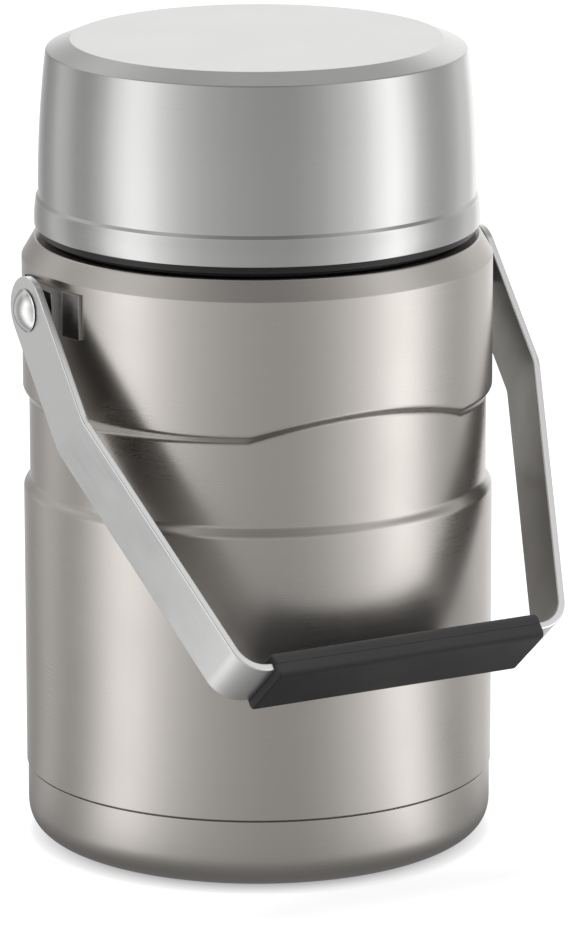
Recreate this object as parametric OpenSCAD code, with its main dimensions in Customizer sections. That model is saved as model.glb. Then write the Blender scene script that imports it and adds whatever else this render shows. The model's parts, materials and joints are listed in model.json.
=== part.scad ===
// Insulated food jar: a double-walled steel jar with a screw stopper, a steel
// serving bowl that screws down over it as the cap, two stacked inner
// containers and a swinging bail handle of bent flat steel.
// The origin is the centre of the base, +Z is up and the arched front is at -Y.

/* [Jar] */
// Inside diameter of the mouth
mouth_d = 103; // [96:1:110]
// How much wider the vessel is than its mouth, on each side
vessel_bulge = 4; // [2:0.5:8]
// Space for the vacuum between the vessel and the outer shell
vacuum_gap = 6.2; // [5:0.1:10]
// Thickness of the pressed steel sheet
sheet = 0.8; // [0.5:0.1:1]
// Height of the base cup, up to the seam
seam_h = 19.8; // [18:0.2:26]
// Height of the plain barrel above the seam
barrel_h = 76; // [50:1:110]
// Height of the waist between its two steps
waist_h = 21.1; // [14:0.1:30]
// Height of the band above the waist
band_h = 34.8; // [32:0.5:50]
// Height of the neck above the shoulder
neck_h = 11.5; // [10:0.5:18]

/* [Waist and arch] */
// How far the waist is pressed in
waist_depth = 1.66; // [0.8:0.1:2.2]
// Height of the soft step under the waist
waist_fall = 3.4; // [2.4:0.1:10]
// Height of the step over the waist
waist_rise = 3.6; // [2:0.2:6]
// How far the arch rises above the waist at the front
arch_rise = 5.3; // [3:0.1:9]
// Width of the arch between its corners
arch_w = 63.6; // [40:0.5:84]

/* [Shoulder and base] */
// Height of the sloping shoulder
shoulder_h = 4.9; // [3:0.1:8]
// How far the shoulder slopes in
shoulder_in = 2.3; // [1.5:0.1:3.5]
// Radius that rounds the shoulder into its flat top
shoulder_edge_r = 1.4; // [1.1:0.1:2]
// Height of the rounded foot of the base cup
foot_h = 9.86; // [6:0.2:14]
// Width of the rounded foot, on each side
foot_w = 13.3; // [8:0.2:18]
// Width of the flat ring that the jar stands on
stand_ring_w = 4.4; // [3:0.2:8]
// Height of the recess inside the standing ring
base_recess = 2.5; // [1.5:0.1:4]
// Height of the vessel's floor above the ground
floor_h = 15; // [14:0.5:22]
// Inside radius at the edge of the vessel's floor
floor_corner_r = 5; // [3:0.5:14]

/* [Stopper] */
// Wall of the stopper's threaded skirt
skirt_wall = 1.6; // [1.2:0.1:2.5]
// Height of the flange
flange_h = 4.2; // [3.5:0.1:7]
// Thickness of the stopper's deck
deck_t = 3; // [2:0.2:5]
// Depth of the insulated plug inside the mouth
plug_h = 15; // [10:0.5:24]
// Wall of the plug
plug_wall = 2; // [1.4:0.1:3]
// Radius of the turning knob
knob_r = 30; // [20:0.5:36]
// Height of the turning knob
knob_h = 8; // [5:0.5:11]
// Number of finger flutes round the knob
knob_flutes = 12; // [6:1:18]
// Radius of each finger flute
flute_r = 4; // [2:0.5:5]

/* [Cap] */
// Height of the cap
cap_h = 49.3; // [46:0.1:70]
// Wall of the threaded collar inside the cap
collar_wall = 2.3; // [1.6:0.1:3]
// Height of the wider band at the cap's edge
cap_band_h = 7.3; // [6:0.1:9]
// How far the side stands back from the band
cap_step = 1.12; // [0.8:0.05:1.5]
// How far the side curves in on its way up
cap_taper = 2.25; // [1:0.05:2.5]
// Height of the rounded corner under the bevel
cap_crown_h = 0.6; // [0.4:0.1:4]
// Width of the bevel round the flat disc
cap_bevel_w = 6.2; // [3:0.1:8]
// Height of the bevel round the flat disc
cap_bevel_h = 2.6; // [1.5:0.1:4]
// Inside radius at the edge of the bowl's floor
bowl_corner_r = 9.5; // [6:0.5:16]

/* [Handle] */
// Distance of the pivot below the top of the shoulder
pivot_drop = 13.2; // [12:0.1:18]
// How far the bracket reaches out from the shell
bracket_reach = 3.5; // [3:0.1:6]
// Width of the bracket's raised box
bracket_w = 17; // [11:0.2:20]
// Height of the bracket
bracket_h = 12; // [10:0.2:18]
// Width of the bracket's curved foot
bracket_foot_w = 30.6; // [24:0.2:36]
// Thickness of the bracket's plate
bracket_t = 0.8; // [0.7:0.1:1.2]
// Width of the handle strap
strap_w = 17.8; // [14:0.2:22]
// Thickness of the handle strap
strap_t = 2; // [1.2:0.1:2.5]
// Distance from the pivot to the outside of the crossbar
arm_l = 114.15; // [108:0.5:130]
// Length of the straight part of the arm below the pivot
arm_straight = 37.5; // [25:0.5:50]
// Angle at which the arms close in
arm_slant = 15.4; // [8:0.2:18]
// Inside radius where the arm turns into the crossbar
corner_bend_r = 7.6; // [5:0.2:10]
// Inside radius of the bend where the arm starts to close in
arm_bend_r = 8; // [4:0.5:20]
// Length of the grip
grip_l = 79.4; // [60:0.2:84]
// Width of the grip
grip_w = 20.6; // [19:0.2:26]
// Thickness of the grip's inner half
grip_inner_t = 3.4; // [2:0.1:6]
// Thickness of the grip's outer half
grip_outer_t = 3.7; // [2:0.1:6]
// Corner radius of the grip's inner half
grip_inner_r = 2; // [1:0.1:2.8]
// Corner radius of the grip's outer half
grip_outer_r = 1.6; // [1:0.1:2.8]
// Radius of the rivet's shank
rivet_r = 2.9; // [2:0.1:3.5]
// Radius of the rivet's domed head
rivet_head_r = 5.8; // [4.5:0.1:7]
// Height of the rivet's domed head
rivet_head_h = 2.8; // [1:0.1:3.5]
// Thickness of the plastic washer under the strap
washer_t = 0.7; // [0.3:0.1:1]
// Radius of the plastic washer under the strap
washer_r = 7; // [5:0.2:8]

/* [Containers] */
// Wall of the two inner containers
container_wall = 1.6; // [1.2:0.1:2.4]
// Height of the lower container
lower_container_h = 80; // [40:1:86]
// How much a container narrows towards its foot, on each side
container_draft = 2.2; // [1:0.1:4]
// Thickness of a container's lid
lid_t = 1.6; // [1.2:0.1:2.4]
// How far a lid reaches down over the rim
lid_skirt_h = 5; // [4:0.5:10]
// How far a lid's inner wall reaches down into the container
lid_plug_h = 1.4; // [1:0.1:3]

/* [Fits] */
// Gap between parts that lift apart
lift_gap = 0.3; // [0.2:0.05:0.4]
// Gap between a screw thread's two walls
thread_gap = 0.4; // [0.3:0.05:0.6]
// Gap between a part and the joint or seat it is fixed in
seat_gap = 0.1; // [0.05:0.01:0.2]
// Running clearance of the strap on its rivet
running_gap = 0.08; // [0.03:0.01:0.1]
// Gap between the resting grip and the front of the jar
rest_gap = 1; // [0.3:0.1:2]

/* [Hidden] */
$fn = 96;

steel = "#a8a29b";
cap_steel = "#c4c4c4";
strap_steel = "#b9b9b9";
dark_plastic = "#2e2e30";
clear_plastic = "#d9dde0";
soft_grey = "#8d9092";
over = 1; // how far a cutting shape passes the face that it cuts
edge = 0.4; // size of a small broken edge

// Radii of the walls, from the mouth outwards
mouth_r = mouth_d / 2;
neck_vacuum = 0.5;
neck_r = mouth_r + neck_vacuum + 2 * sheet;
vessel_r = mouth_r + vessel_bulge;
body_r = vessel_r + sheet + vacuum_gap;
waist_r = body_r - waist_depth;

// Heights of the jar, from the ground up
seam_gap = 0.4;
seam_z = seam_h + seam_gap / 2;
fall_z = seam_h + barrel_h;
waist_z = fall_z + waist_fall;
rise_z = waist_z + waist_h;
band_z = rise_z + waist_rise;
shoulder_z = band_z + band_h;
neck_z = shoulder_z + shoulder_h;
rim_z = neck_z + neck_h;
step_parts = 8;

// Base cup and the joggled skirt of the shell that it slides over
base_inset = 0.35;
base_r = body_r - base_inset;
skirt_r = base_r - sheet - seat_gap;
floor_gap = 5.8; // space between the plate and the vessel's floor
plate_z = floor_h - floor_gap;
plate_lip_h = 3;
dish_h = 1;
dish_z = plate_z + dish_h;
pump_hole_r = 1.5;
plug_bead_h = 1;
getter_r = 5.5;
getter_h = 2;
foot_power = 2 / 2.53;
foot_parts = 12;
stand_r = base_r - foot_w;
stand_inner_r = stand_r - stand_ring_w;

// Vessel
throat_h = 6;
throat_drop = 2;
throat_z = neck_z - throat_h - throat_drop;
foil_t = 0.3;
foil_r = vessel_r + sheet + seat_gap;

// Stopper
skirt_inner_r = neck_r + thread_gap;
thread_r = skirt_inner_r + skirt_wall;
flange_r = thread_r + collar_wall; // clear of the cap's edge by the thread's gap
flange_z = neck_z + lift_gap;
flange_top_z = flange_z + flange_h;
seal_t = 1.8;
deck_z = rim_z + seal_t + 2 * seat_gap;
deck_top_z = deck_z + deck_t;
plug_r = mouth_r - lift_gap;
plug_z = rim_z - plug_h;
plug_base_t = 2;
plug_lip_w = 1.2;
plug_lip_h = 1.5;
knob_wall = 2.2;

// Cap, a double-walled bowl upside down
cap_overlap = 1; // how far the cap reaches down over the flange
cap_z = flange_top_z - cap_overlap;
cap_top_z = cap_z + cap_h;
collar_r = thread_r + thread_gap;
cap_r = collar_r + collar_wall + sheet;
cap_side_r = cap_r - cap_step;
cap_band_taper = 0.6;
cap_step_h = 1.2;
cap_side_z = cap_z + cap_band_h + cap_step_h;
cap_crown_z = cap_top_z - cap_bevel_h - cap_crown_h;
cap_crown_r = cap_side_r - cap_taper;
cap_round_w = 0.35;
cap_disc_r = cap_crown_r - cap_round_w - cap_bevel_w;
cap_seal_t = 1.7;
cap_seal_w = 2;
liner_z = deck_top_z + cap_seal_t + 3 * seat_gap;
liner_r = cap_crown_r - 3 * sheet;
bowl_drop = 4.4; // from the top of the cap down to the bowl's floor
bowl_floor_z = cap_top_z - bowl_drop;
bowl_wall_gap = 0.2;
bowl_rim_r = cap_side_r - cap_taper / 4 - sheet - bowl_wall_gap;

// Handle
pivot_z = neck_z - pivot_drop;
bracket_x = body_r + bracket_reach;
strap_play = 0.2; // side play of the strap on its rivet
strap_inner_x = bracket_x + washer_t + 2 * seat_gap + strap_play;
strap_x = strap_inner_x + strap_t / 2;
crossbar_s = arm_l - strap_t / 2;
crossbar_x = strap_x - (crossbar_s - arm_straight) * tan(arm_slant);
// The grip's inner corner comes to rest just clear of the front of the shell
rest_s = crossbar_s - grip_inner_t + grip_inner_r;
rest_w = grip_w / 2 - grip_inner_r;
rest_tilt = atan2(rest_w, rest_s) + asin((body_r + rest_gap + grip_inner_r) / norm([rest_s, rest_w]));
bend_parts = 10;

// Containers, stacked in the vessel under the stopper; the upper one stands
// in the sunk lid of the lower one
lid_r = mouth_r - 2 * lift_gap;
lid_wall = 1.1;
lid_sink = 1;
lid_seal_t = 1.2;
container_r = lid_r - lid_wall - lift_gap;
container_foot_r = 4;
bead_w = 0.8;
bead_h = 2.5;
lid_inner_r = container_r - bead_w - container_wall - lift_gap;
lid_over = lid_seal_t + 2 * seat_gap + lid_t;
stack_play = 1; // space between the upper lid and the stopper
lower_z = floor_h + lift_gap;
lower_rim_z = lower_z + lower_container_h;
upper_z = lower_rim_z + lid_over - lid_sink + lift_gap;
upper_container_h = plug_z - stack_play - lid_over - upper_z;

// Points of a soft step from one radius to another
function soft_step(r0, z0, r1, z1) = [for (i = [0:step_parts]) let (u = i / step_parts)
    [r0 + (r1 - r0) * (1 - cos(180 * u)) / 2, z0 + (z1 - z0) * u]];

// Points of an arc round [x, y] from angle a0 to angle a1
function arc(x, y, r, a0, a1, parts) = [for (i = [0:parts]) let (a = a0 + (a1 - a0) * i / parts)
    [x + r * cos(a), y + r * sin(a)]];

function reversed(points) = [for (i = [len(points) - 1:-1:0]) points[i]];

function moved(points, dx, dy) = [for (p = points) [p[0] + dx, p[1] + dy]];

// Points that round the corner b between a and c with radius r
function rounded_corner(a, b, c, r, parts) = let (
    d0 = (b - a) / norm(b - a),
    d1 = (c - b) / norm(c - b),
    turn = acos(d0 * d1),
    side = sign(d0[0] * d1[1] - d0[1] * d1[0]),
    across = side * [-d0[1], d0[0]],
    start = b - d0 * r * tan(turn / 2)
) [for (i = [0:parts]) let (u = turn * i / parts) start + r * (d0 * sin(u) + across * (1 - cos(u)))];

module revolve(points) {
    rotate_extrude() polygon(points);
}

module ring(r0, r1, z0, z1) {
    translate([0, 0, z0]) difference() {
        cylinder(r = r1, h = z1 - z0);
        translate([0, 0, -over]) cylinder(r = r0, h = z1 - z0 + 2 * over);
    }
}

// Outline of the outer shell, set in by t; the set-in form is open at both ends
function shell_outline(t) = concat(
    [[0, plate_z - (t > 0 ? over : 0)], [skirt_r - t, plate_z - (t > 0 ? over : 0)]],
    [[skirt_r - t, seam_z + t], [body_r - (t > 0 ? t : edge), seam_z + t]],
    [[body_r - t, seam_z + t + edge]],
    moved(soft_step(body_r, fall_z, waist_r, waist_z), -t, 0),
    moved(soft_step(waist_r, rise_z, body_r, band_z), -t, 0),
    [[body_r - t, shoulder_z - t / 4]],
    arc(body_r - shoulder_in - shoulder_edge_r, neck_z - shoulder_edge_r, shoulder_edge_r - t, 30, 90, 4),
    [[neck_r - (t > 0 ? t : -edge), neck_z - t]],
    [[neck_r - t, neck_z + (t > 0 ? 0 : edge)], [neck_r - t, rim_z - sheet + (t > 0 ? over : 0)]],
    [[0, rim_z - sheet + (t > 0 ? over : 0)]]
);

// The arched panel at the front, pressed in to the depth of the waist.
// Its edge falls in steps that follow the soft step over the waist; the last
// step of all is too shallow to press.
module arch_press(t) {
    arch_r = (arch_w * arch_w / 4 + arch_rise * arch_rise) / (2 * arch_rise);
    for (i = [0:step_parts - 2]) {
        u = (i + 0.5) / step_parts;
        floor_r = waist_r + waist_depth * (1 - cos(180 * u)) / 2 - t;
        edge_z = rise_z + waist_rise * i / step_parts;
        difference() {
            translate([0, -waist_r / 2, edge_z + arch_rise - arch_r])
                rotate([90, 0, 0]) cylinder(r = arch_r, h = body_r, $fn = 180);
            cylinder(r = floor_r, h = cap_top_z);
            translate([-body_r, -2 * body_r, edge_z - 3 * arch_r])
                cube([2 * body_r, 2 * body_r, 3 * arch_r]);
        }
    }
}

module shell_form(t) {
    difference() {
        revolve(shell_outline(t));
        arch_press(t);
    }
}

module outer_shell() {
    color(steel) difference() {
        shell_form(0);
        shell_form(sheet);
    }
}

// Outside of the foot from the standing ring up to the wall, set in by t
function foot_curve(t) = [for (i = [0:foot_parts]) let (a = 90 - 90 * i / foot_parts)
    [stand_r + (foot_w - t) * pow(cos(a), foot_power), t + (foot_h - t) * (1 - pow(sin(a), foot_power))]];

module base_cup() {
    top_z = seam_h - seam_gap / 2;
    color(steel) revolve(concat(
        [[0, base_recess], [stand_inner_r - base_recess, base_recess], [stand_inner_r, 0]],
        foot_curve(0),
        [[base_r, top_z - edge], [base_r - edge, top_z], [base_r - sheet, top_z]],
        reversed(foot_curve(sheet)),
        [[stand_inner_r, sheet], [stand_inner_r - base_recess, base_recess + sheet]],
        [[0, base_recess + sheet]]
    ));
}

// Dished plate that closes the vacuum space, with the hole it is pumped out by
module vacuum_plate() {
    plate_r = skirt_r - sheet - seat_gap / 2;
    dish_r = plate_r - 20;
    color(steel) difference() {
        revolve([
            [0, dish_z], [dish_r - dish_h, dish_z], [dish_r, plate_z], [plate_r, plate_z],
            [plate_r, plate_z + plate_lip_h], [plate_r - sheet, plate_z + plate_lip_h],
            [plate_r - sheet, plate_z + sheet], [dish_r, plate_z + sheet],
            [dish_r - dish_h, dish_z + sheet], [0, dish_z + sheet]
        ]);
        translate([0, 0, plate_z]) cylinder(r = pump_hole_r, h = dish_h + sheet + over);
    }
}

// Bead of solder that seals the pump hole
module seal_plug() {
    bead_z = dish_z - seat_gap / 2;
    color("#6d6f70") {
        translate([0, 0, bead_z - plug_bead_h]) cylinder(r = 3 * pump_hole_r, h = plug_bead_h);
        translate([0, 0, bead_z]) cylinder(r = pump_hole_r - seat_gap / 2, h = sheet);
    }
}

// Pill that soaks up the last gas, in its clip on the closing plate
module getter() {
    color("#77787a") translate([4 * getter_r, 0, dish_z + sheet]) difference() {
        cylinder(r = getter_r, h = getter_h);
        translate([0, 0, getter_h - sheet]) cylinder(r = getter_r - 2 * sheet, h = over + sheet);
    }
}

module heat_foil() {
    color("#c98a5a") ring(foil_r, foil_r + foil_t, floor_h + floor_corner_r, throat_z - throat_drop);
}

// Inside of the vessel, grown by g
function vessel_outline(g) = concat(
    [[0, floor_h - g]],
    arc(vessel_r - floor_corner_r, floor_h + floor_corner_r, floor_corner_r + g, -90, 0, 8),
    [[vessel_r + g, throat_z + g / 4], [mouth_r + g, throat_z + throat_h + g / 4]],
    [[mouth_r + g, rim_z + (g > 0 ? 0 : over)], [0, rim_z + (g > 0 ? 0 : over)]]
);

module inner_vessel() {
    color(steel) difference() {
        union() {
            revolve(vessel_outline(sheet));
            translate([0, 0, rim_z - sheet]) cylinder(r = neck_r, h = sheet);
        }
        revolve(vessel_outline(0));
    }
}

// Drawn box that stands off the shell, on a foot that follows the shell
module bracket() {
    shell_r = body_r + seat_gap / 2;
    translate([0, 0, pivot_z]) difference() {
        union() {
            translate([0, -bracket_w / 2, -bracket_h / 2]) cube([bracket_x, bracket_w, bracket_h]);
            intersection() {
                cylinder(r = shell_r + bracket_t, h = bracket_h, center = true);
                translate([0, -bracket_foot_w / 2, -bracket_h / 2])
                    cube([bracket_x, bracket_foot_w, bracket_h]);
            }
        }
        cylinder(r = shell_r, h = 2 * bracket_h, center = true);
        translate([0, bracket_t - bracket_w / 2, bracket_t - bracket_h / 2])
            cube([bracket_x - bracket_t, bracket_w - 2 * bracket_t, bracket_h - 2 * bracket_t]);
        rotate([0, 90, 0]) cylinder(r = rivet_r + seat_gap / 2, h = bracket_x + over);
    }
}

module left_bracket() {
    color(steel) mirror([1, 0, 0]) bracket();
}

module right_bracket() {
    color(steel) bracket();
}

// Rivet with a domed head outside the strap and a set head inside the bracket
module rivet() {
    head_x = strap_inner_x + strap_t + strap_play;
    dome_r = (rivet_head_r * rivet_head_r + rivet_head_h * rivet_head_h) / (2 * rivet_head_h);
    set_x = bracket_x - bracket_t - seat_gap / 2 - sheet;
    translate([0, 0, pivot_z]) rotate([0, 90, 0]) {
        translate([0, 0, set_x]) cylinder(r = rivet_r * 1.4, h = sheet);
        translate([0, 0, set_x]) cylinder(r = rivet_r, h = head_x + over - set_x);
        intersection() {
            translate([0, 0, head_x]) cylinder(r = rivet_head_r, h = rivet_head_h + over);
            translate([0, 0, head_x + rivet_head_h - dome_r]) sphere(r = dome_r);
        }
    }
}

module handle_rivets() {
    color(strap_steel) {
        rivet();
        mirror([1, 0, 0]) rivet();
    }
}

module pivot_washers() {
    washer_x = bracket_x + seat_gap + washer_t / 2;
    color(dark_plastic) for (side = [-1, 1])
        translate([side * washer_x, 0, pivot_z]) rotate([0, 90, 0]) difference() {
            cylinder(r = washer_r, h = washer_t, center = true);
            cylinder(r = rivet_r + seat_gap, h = 2 * washer_t, center = true);
        }
}

// Everything on the handle is drawn with the arms hanging straight down
module handle_at_rest() {
    translate([0, 0, pivot_z]) rotate([-rest_tilt, 0, 0]) children();
}

// Points down one side of the strap, set out by t from its middle
function strap_side(t) = let (
    slant_shift = t * tan(arm_slant / 2),
    corner_shift = t * tan((90 - arm_slant) / 2),
    top = [strap_x + t, strap_w / 2],
    knee = [strap_x + t, -arm_straight - slant_shift],
    corner = [crossbar_x + corner_shift, -crossbar_s - t],
    knee_r = arm_bend_r + strap_t / 2 + t,
    corner_r = corner_bend_r + strap_t / 2 + t
) concat(
    [top],
    rounded_corner(top, knee, corner, knee_r, bend_parts),
    rounded_corner(knee, corner, [0, corner[1]], corner_r, bend_parts)
);

function mirrored(points) = [for (i = [len(points) - 1:-1:0]) [-points[i][0], points[i][1]]];

module handle_strap() {
    outside = strap_side(strap_t / 2);
    inside = strap_side(-strap_t / 2);
    color(strap_steel) handle_at_rest() difference() {
        intersection() {
            rotate([90, 0, 0]) linear_extrude(height = strap_w, center = true)
                polygon(concat(outside, mirrored(outside), reversed(mirrored(inside)), reversed(inside)));
            union() {
                rotate([0, 90, 0]) cylinder(r = strap_w / 2, h = 4 * strap_x, center = true);
                translate([-2 * strap_x, -strap_w, -2 * arm_l])
                    cube([4 * strap_x, 2 * strap_w, 2 * arm_l]);
            }
        }
        rotate([0, 90, 0]) cylinder(r = rivet_r + running_gap, h = 4 * strap_x, center = true);
    }
}

// One moulded half of the grip, t thick, with its half of the slot for the strap
module grip_half(t, corner_r) {
    slot_w = strap_w + 2 * seat_gap;
    slot_h = strap_t / 2 + seat_gap;
    half_w = grip_w / 2;
    difference() {
        rotate([90, 0, 90]) linear_extrude(height = grip_l, center = true) polygon(concat(
            [[-half_w, 0]],
            arc(corner_r - half_w, t - corner_r, corner_r, 180, 90, 6),
            arc(half_w - corner_r, t - corner_r, corner_r, 90, 0, 6),
            [[half_w, 0]]
        ));
        translate([-grip_l, -slot_w / 2, -over]) cube([2 * grip_l, slot_w, slot_h + over]);
    }
}

module grip_inner() {
    color(dark_plastic) handle_at_rest() translate([0, 0, -crossbar_s])
        grip_half(grip_inner_t, grip_inner_r);
}

module grip_outer() {
    color(dark_plastic) handle_at_rest() translate([0, 0, -crossbar_s])
        rotate([180, 0, 0]) grip_half(grip_outer_t, grip_outer_r);
}

// Tapered cup with a bead round its rim
module container(z, h) {
    foot_r = container_r - container_draft;
    wall = container_wall;
    color(clear_plastic) translate([0, 0, z]) revolve(concat(
        [[0, 0]],
        arc(foot_r - container_foot_r, container_foot_r, container_foot_r, -90, 0, 6),
        [[container_r - bead_w, h - bead_h - bead_w], [container_r, h - bead_h], [container_r, h - edge]],
        [[container_r - edge, h], [container_r - wall + edge, h], [container_r - wall, h - edge]],
        [[container_r - bead_w - wall, h - bead_h - bead_w]],
        reversed(arc(foot_r - container_foot_r, container_foot_r, container_foot_r - wall, -90, 0, 6)),
        [[0, wall]]
    ));
}

// Snap lid with a skirt over the rim, an inner wall and a sunk panel
module lid(rim) {
    under = rim + lid_seal_t + 2 * seat_gap;
    top = under + lid_t;
    skirt_z = top - lid_skirt_h;
    plug_foot_z = under - lid_sink - lid_plug_h;
    skirt_inner_r = lid_r - lid_wall;
    panel_r = lid_inner_r - lid_wall;
    color(soft_grey) revolve([
        [0, under - lid_sink], [panel_r, under - lid_sink], [panel_r, plug_foot_z], [lid_inner_r, plug_foot_z],
        [lid_inner_r, under], [skirt_inner_r, under], [skirt_inner_r, skirt_z], [lid_r, skirt_z],
        [lid_r, top - edge], [lid_r - edge, top], [panel_r, top], [panel_r - lid_sink, top - lid_sink],
        [0, top - lid_sink]
    ]);
}

module lid_seal(rim) {
    color("#c9c9c6") ring(lid_inner_r + seat_gap, lid_r - lid_wall - seat_gap,
        rim + seat_gap, rim + seat_gap + lid_seal_t);
}

module lower_container() {
    container(lower_z, lower_container_h);
}

module lower_lid() {
    lid(lower_rim_z);
}

module lower_lid_seal() {
    lid_seal(lower_rim_z);
}

module upper_container() {
    container(upper_z, upper_container_h);
}

module upper_lid() {
    lid(upper_z + upper_container_h);
}

module upper_lid_seal() {
    lid_seal(upper_z + upper_container_h);
}

// Ring between the mouth's rim and the stopper
module stopper_seal() {
    seal_z = rim_z + seat_gap;
    color("#b9bab8") ring(plug_r + seat_gap, skirt_inner_r - seat_gap, seal_z, seal_z + seal_t);
}

// Threaded skirt, deck and plug wall in one moulding, with the knob on top
module stopper_body() {
    plug_inner_r = plug_r - plug_wall;
    hollow_r = knob_r - 2 * flute_r / 3 - knob_wall;
    color(dark_plastic) difference() {
        union() {
            revolve([
                [skirt_inner_r, flange_z], [flange_r - edge, flange_z], [flange_r, flange_z + edge],
                [flange_r, flange_top_z], [thread_r, flange_top_z], [thread_r, deck_top_z - edge],
                [thread_r - edge, deck_top_z], [0, deck_top_z], [0, deck_z], [plug_inner_r, deck_z],
                [plug_inner_r, plug_z + plug_base_t], [plug_r, plug_z + plug_base_t], [plug_r, deck_z],
                [skirt_inner_r, deck_z]
            ]);
            translate([0, 0, deck_top_z]) cylinder(r = knob_r, h = knob_h);
        }
        for (i = [0:knob_flutes - 1]) rotate([0, 0, i * 360 / knob_flutes])
            translate([knob_r + flute_r / 3, 0, deck_top_z])
                cylinder(r = flute_r, h = knob_h + over, $fn = 32);
        translate([0, 0, deck_z - over]) cylinder(r = hollow_r, h = deck_t + knob_h - knob_wall + over);
    }
}

module stopper_foam() {
    foam_r = plug_r - plug_wall - plug_lip_w - 2 * seat_gap;
    color("#e8e4d8") translate([0, 0, plug_z + plug_base_t + seat_gap])
        cylinder(r = foam_r, h = deck_z - plug_z - plug_base_t - 2 * seat_gap);
}

// Cover that closes the foam in, with a lip inside the plug wall
module stopper_base() {
    lip_r = plug_r - plug_wall - seat_gap;
    top_z = plug_z + plug_base_t;
    color(dark_plastic) revolve([
        [0, plug_z], [plug_r - 1, plug_z], [plug_r, plug_z + 1], [plug_r, top_z], [lip_r, top_z],
        [lip_r, top_z + plug_lip_h], [lip_r - plug_lip_w, top_z + plug_lip_h],
        [lip_r - plug_lip_w, top_z], [0, top_z]
    ]);
}

module cap_seal() {
    seal_z = deck_top_z + seat_gap;
    color("#b9bab8") ring(thread_r - cap_seal_w, thread_r - seat_gap, seal_z, seal_z + cap_seal_t);
}

// Outside of the cap, set in by t; the set-in form is open at the bottom
function cap_outline(t) = concat(
    [[0, cap_z - (t > 0 ? over : 0)], [cap_r - (t > 0 ? t : edge), cap_z - (t > 0 ? over : 0)]],
    [[cap_r - t, cap_z + edge]],
    [for (i = [1:4])
        [cap_r - t - cap_band_taper * i * i / 16, cap_z + 3 * edge + (cap_band_h - 3 * edge) * i / 4]],
    [for (i = [0:10]) let (u = i / 10)
        [cap_side_r - t - cap_taper * u * u, cap_side_z + (cap_crown_z - 2 * t / 3 - cap_side_z) * u]],
    [for (i = [1:4]) let (a = 22.5 * i)
        [cap_crown_r - t - cap_round_w * (1 - cos(a)), cap_crown_z - 2 * t / 3 + cap_crown_h * sin(a)]],
    [[cap_disc_r - t / 4, cap_top_z - t], [0, cap_top_z - t]]
);

module cap_shell() {
    color(cap_steel) difference() {
        revolve(cap_outline(0));
        revolve(cap_outline(sheet));
    }
}

// Inner bowl, turned over: its rim rests on the collar
module cap_liner() {
    corner_x = liner_r - bowl_corner_r;
    corner_z = bowl_floor_z - bowl_corner_r;
    color(cap_steel) revolve(concat(
        [[liner_r, liner_z], [bowl_rim_r, liner_z], [bowl_rim_r, liner_z + sheet]],
        [[liner_r + sheet, liner_z + sheet]],
        arc(corner_x, corner_z, bowl_corner_r + sheet, 0, 90, 8),
        [[0, bowl_floor_z + sheet], [0, bowl_floor_z]],
        reversed(arc(corner_x, corner_z, bowl_corner_r, 0, 90, 8))
    ));
}

// Plastic ring with the cap's thread, between the shell and the bowl's rim
module cap_collar() {
    wide_r = cap_r - cap_band_taper - sheet - bowl_wall_gap;
    foot_z = flange_top_z + lift_gap;
    top_z = liner_z - seat_gap;
    color(dark_plastic) revolve([
        [collar_r, foot_z], [wide_r, foot_z], [wide_r, cap_z + cap_band_h - sheet],
        [bowl_rim_r, cap_z + cap_band_h], [bowl_rim_r, top_z], [thread_r, top_z],
        [thread_r, deck_top_z + lift_gap], [collar_r, deck_top_z - over]
    ]);
}

outer_shell();
base_cup();
vacuum_plate();
seal_plug();
getter();
heat_foil();
inner_vessel();
left_bracket();
right_bracket();
handle_rivets();
pivot_washers();
handle_strap();
grip_inner();
grip_outer();
lower_container();
lower_lid();
lower_lid_seal();
upper_container();
upper_lid();
upper_lid_seal();
stopper_seal();
stopper_body();
stopper_foam();
stopper_base();
cap_seal();
cap_shell();
cap_liner();
cap_collar();
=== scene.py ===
import json
import math

import bmesh
import bpy
from mathutils import Matrix, Vector


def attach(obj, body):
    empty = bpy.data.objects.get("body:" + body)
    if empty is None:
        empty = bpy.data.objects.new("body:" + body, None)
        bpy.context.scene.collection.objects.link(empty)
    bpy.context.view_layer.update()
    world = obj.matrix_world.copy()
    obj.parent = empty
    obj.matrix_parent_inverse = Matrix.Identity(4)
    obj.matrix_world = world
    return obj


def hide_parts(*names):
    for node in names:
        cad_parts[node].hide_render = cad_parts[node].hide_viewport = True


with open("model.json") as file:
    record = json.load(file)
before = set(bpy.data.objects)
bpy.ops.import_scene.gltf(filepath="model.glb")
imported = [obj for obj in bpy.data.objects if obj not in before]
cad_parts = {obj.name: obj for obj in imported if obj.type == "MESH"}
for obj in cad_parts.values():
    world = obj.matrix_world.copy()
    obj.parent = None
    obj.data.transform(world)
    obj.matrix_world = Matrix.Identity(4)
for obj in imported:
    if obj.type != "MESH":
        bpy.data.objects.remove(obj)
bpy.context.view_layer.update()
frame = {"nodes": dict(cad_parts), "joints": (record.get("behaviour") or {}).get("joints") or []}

# Studio: a long lens from the left of the jar's front, white paper under the
# jar, and a round tent of cloth that lights it from all sides. The cloth is
# brighter in a few upright strips, which the steel shows as long soft streaks,
# and the roof is bright behind the jar and dark over the camera.
camera = bpy.data.objects.new("camera", bpy.data.cameras.new("camera"))
camera.data.lens = 263.68
camera.data.sensor_width = 36
camera.data.clip_start = 0.1
camera.data.clip_end = 100
camera_place = Vector((-0.856295, -1.540355, 0.540841))
right = Vector((0.8715694, -0.49026861, -0.00186428))
up = Vector((0.12040023, 0.21035095, 0.97018362))
ahead = Vector((0.47525842, 0.84580682, -0.2423639))
camera.matrix_world = Matrix.Translation(camera_place) @ Matrix((right, up, -ahead)).transposed().to_4x4()
bpy.context.collection.objects.link(camera)
bpy.context.scene.camera = camera
bpy.context.scene.view_settings.view_transform = "Standard"

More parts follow.
